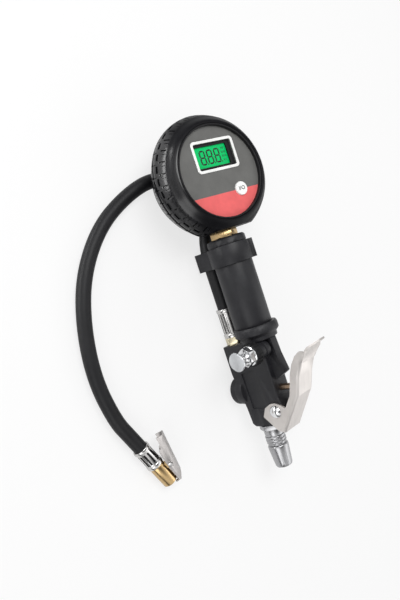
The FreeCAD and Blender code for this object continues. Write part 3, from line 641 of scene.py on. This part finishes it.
units = []
for row, word in enumerate(("PSI", "BAR", "KPA", "KG")):
    row_at = (11.6, window[1] + 5.0 - row * 3.2)
    units.append(lettering("unit_" + word.lower(), word, row_at, 2.3, PANEL_TOP + 0.03))
seat(weld("display_units", units), TOOL, faint_ink, "mask_black", "tool")

# ---- mode button ----
# A white moulded cap with a rounded edge that presses a small switch on the board.
button_at = Vector((14.9, dial.y - 16.9, 0))
cap = turned("button_cap", [(0, 16.0), (2, 16.0), (2, 18.4), (7.2, 18.4), (7.2, 19.3), (5.5, 19.3), (5.5, 22.1),
                            (5.3, 22.55), (4.9, 22.8), (4.3, 22.88), (0, 22.9)], button_at, Z_UP, X_OUT, 64)
soften(cap, 0.08, 2)
seat(cap, TOOL, gloss_white, "white_plastic", "mode_button_body", "mode_button")
legend = lettering("button_legend", "I/O", button_at, 4.6, 22.94, 0.05)
legend_ink = Finish("legend ink", Base_Color=(0.02, 0.02, 0.02), Roughness=0.4)
seat(legend, TOOL, legend_ink, "mask_black", "mode_button_body")

# ---- pieces kept from the CAD with their edges eased ----
# Hexagons, castings and bent sheet: the CAD's own shape, with the small radii of a finished part.
def eased(node, name, width, finish, slot, rides, rows=2, angle=30):
    """A copy of a CAD node, made whole, with its edges rounded. It stands for the node."""
    obj = nodes[node].copy()
    obj.data = nodes[node].data.copy()
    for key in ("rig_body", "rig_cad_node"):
        if key in obj:
            del obj[key]
    obj.name = name
    obj.parent = None
    bpy.context.scene.collection.objects.link(obj)
    bpy.ops.object.select_all(action="DESELECT")
    bpy.context.view_layer.objects.active = obj
    obj.select_set(True)
    bpy.ops.object.mode_set(mode="EDIT")
    bpy.ops.mesh.select_all(action="SELECT")
    bpy.ops.mesh.remove_doubles(threshold=0.000002)
    bpy.ops.mesh.dissolve_limited(angle_limit=math.radians(0.5))
    bpy.ops.object.mode_set(mode="OBJECT")
    soften(obj, width * MM, rows, angle)
    return seat(obj, Matrix.Identity(4), finish, slot, rides, node)


handle_black = cast_paint("handle paint", (0.010, 0.010, 0.012), 0.34)
casting_black = cast_paint("casting paint", (0.009, 0.009, 0.011), 0.36, 1000.0)
lever_metal = bare_metal("satin lever", (0.72, 0.685, 0.66), 0.36, (1, 0.15, 0.15), 500.0)
chrome = bare_metal("chrome", (0.84, 0.85, 0.86), 0.03, (1, 1, 1), 300.0, 0.000001)
satin_chrome = bare_metal("satin chrome", (0.78, 0.80, 0.82), 0.26, (1, 1, 1), 600.0)
clip_steel = bare_metal("clip steel", (0.45, 0.43, 0.42), 0.32, (1, 1, 1), 700.0)

# ---- brass stem and valve body ----
# A hexagon of turned brass that carries the gauge, and the die-cast body that holds the valve.
eased("gauge_stem", "brass_stem", 0.35, brass, "brass", "tool")
eased("valve_body", "valve_casting", 0.35, casting_black, "cast_black", "tool")

# ---- trigger lever ----
# One pressing of satin steel sheet. Its web bends up to a turned tip, and two ears fold down to the
# pivot. The folds are round, with the sheet's thickness kept through them.
trigger = eased("trigger_lever", "trigger", 0, lever_metal, "lever_steel", "lever")
fold_line = [(7.0, -91.5), (31.0, -61.5), (37.5, -46.0), (43.5, -35.5), (54.0, -24.3)]


def from_fold(point):
    """How far a point of the lever's side view is from the outer line of its web."""
    gaps = []
    for a, b in zip(fold_line, fold_line[1:]):
        a, b = Vector(a), Vector(b)
        t = max(0.0, min(1.0, (point - a).dot(b - a) / (b - a).length_squared))
        gaps.append((point - a - (b - a) * t).length)
    return min(gaps)


def round_fold(obj, half, depth, radius):
    """Rounds the long edges where the lever's web turns into its ears."""
    local = BODY.inverted()
    bpy.ops.object.select_all(action="DESELECT")
    bpy.context.view_layer.objects.active = obj
    obj.select_set(True)
    bpy.ops.object.mode_set(mode="EDIT")
    bpy.ops.mesh.select_mode(type="EDGE")
    bpy.ops.mesh.select_all(action="DESELECT")
    bpy.ops.object.mode_set(mode="OBJECT")
    ends = [local @ v.co for v in obj.data.vertices]
    fits = [abs(abs(p.x) - half) < 0.02 and abs(from_fold(Vector((p.z, p.y))) - depth) < 0.08 for p in ends]
    for edge in obj.data.edges:
        a, b = edge.vertices
        edge.select = fits[a] and fits[b] and (ends[a] - ends[b]).length > 0.5 and ends[a].x * ends[b].x > 0
    bpy.ops.object.mode_set(mode="EDIT")
    bpy.ops.mesh.bevel(offset=radius * MM, segments=5, affect="EDGES")
    bpy.ops.mesh.select_mode(type="VERT")
    bpy.ops.object.mode_set(mode="OBJECT")


LEVER_HALF, SHEET = 11.1, 1.5
round_fold(trigger, LEVER_HALF, 0.0, 2 * SHEET)
round_fold(trigger, LEVER_HALF - SHEET, SHEET, SHEET)
soften(trigger, 0.0003, 2, 35)

# ---- hose clip, fitting and bleed valve ----
# A black clip with a set screw holds the hose to the grip. The hose ends in a plated hexagon. The
# bleed valve is a chromed nut on a ribbed ring, with a disc that is pressed to let air out.
eased("hose_clip", "hose_clip_ring", 0.3, casting_black, "clip_black", "tool")
eased("clip_screw", "clip_set_screw", 0.12, steel, "steel", "tool")
eased("hose_fitting", "brass_fitting", 0.25, pale_brass, "brass", "tool")
eased("bleed_nut", "bleed_hexagon", 0.3, chrome, "chrome", "tool")
eased("bleed_lock_ring", "ribbed_ring", 0.15, soft_black, "black_ring", "tool")
eased("bleed_boss", "bleed_socket", 0.3, casting_black, "cast_black", "tool")

# ---- inlet plug and valve cap ----
# A turned steel quick-connect plug with grooves for the coupling, and the screwed cap of the valve.
plug_steel = bare_metal("plug steel", (0.43, 0.43, 0.44), 0.22, (1, 1, 1))
eased("inlet_plug", "plug", 0.2, plug_steel, "steel", "tool", 2, 32)
eased("plug_collar", "plug_ring", 0.3, plug_steel, "steel", "tool")
eased("valve_cap", "valve_end_cap", 0.3, casting_black, "cast_black", "tool")


# ---- ferrules and chuck ----
# Crimped steel tubes grip the hose at both ends. The brass chuck pushes onto a tyre valve, and its
# sprung clip lever holds it there.
def crimp(name, node, low, radius, length, place):
    """A ferrule: a steel tube with a collar at each end and twelve pressed flutes between them."""
    high = low + length
    tube = turned(name, [(3.1, low), (radius - 0.5, low), (radius - 0.15, low + 0.15), (radius, low + 0.5),
                         (radius, low + 2.8), (radius - 0.2, low + 3.3), (radius - 0.6, low + 3.6),
                         (radius - 0.6, high - 3.3), (radius - 0.2, high - 3.0), (radius, high - 2.6),
                         (radius, high - 0.5), (radius - 0.15, high - 0.15), (radius - 0.5, high), (6.02, high),
                         (6.02, low + 2.5), (3.1, low + 2.5), (3.1, low)], steps=96)
    for i in range(12):
        slot = box_tool((-0.85, low + 4.6, radius - 1.45), (0.85, high - 4.2, radius + 1))
        slot.data.transform(Matrix.Rotation(math.radians(30 * i), 4, "Y"))
        cut(tube, slot)
    soften(tube, 0.18, 2, 32)
    return seat(tube, place, crimp_steel, "steel", "tool", node)


crimp_steel = bare_metal("crimped steel", (0.66, 0.65, 0.64), 0.13, (1, 1, 1))
crimp("near_crimp", "hose_ferrule", -6.5, 7.9, 25.5, BODY @ Matrix.Translation((0, 0, HOSE_L)))
heading = math.atan2(chuck_way.y, chuck_way.x) - math.pi / 2
FAR = (Matrix.Translation(hose_end) @ Matrix.Rotation(heading, 4, "Z") @ Matrix.Scale(MM, 4)
       @ Matrix.Translation((0, -17.3, 0)) @ Matrix.Rotation(math.radians(-60), 4, "Y"))
FAR_LENGTH = 19.8
crimp("far_crimp", "far_ferrule", 0, 7.2, FAR_LENGTH,
      FAR @ Matrix.Translation((0, FAR_LENGTH, 0)) @ Matrix.Rotation(math.pi, 4, "Z"))
eased("chuck_body", "chuck_barrel", 0.25, chuck_brass, "brass", "tool")
eased("chuck_lever", "chuck_clip", 0.15, clip_steel, "lever_steel", "chuck_clip_body")
eased("chuck_lever_pin", "chuck_clip_pin", 0.2, steel, "steel", "tool")

# ---- grip and rivet ----
# A painted sleeve with its end cap, and the domed rivet that the lever turns on.
eased("grip_tube", "grip_sleeve", 0.4, handle_black, "handle_black", "tool")
eased("grip_cap", "grip_end_cap", 0.3, handle_black, "handle_black", "tool")
head = [(0, 14.3), (1.4, 14.25), (2.8, 13.95), (4.0, 13.35), (4.9, 12.45), (5.4, 11.5), (5.5, 11.25), (2.5, 11.25)]
rivet = turned("pivot_rivet", head + [(r, -a) for r, a in head[::-1]], PIVOT, X_OUT, Z_UP, 64)
soften(rivet, 0)
seat(rivet, BODY, chrome, "chrome", "tool", "pivot_pin")
eased("bleed_button", "bleed_disc", 0.3, satin_chrome, "chrome", "bleed_button_body")
eased("bleed_spring", "bleed_coil", 0.0, steel, "steel", "tool")
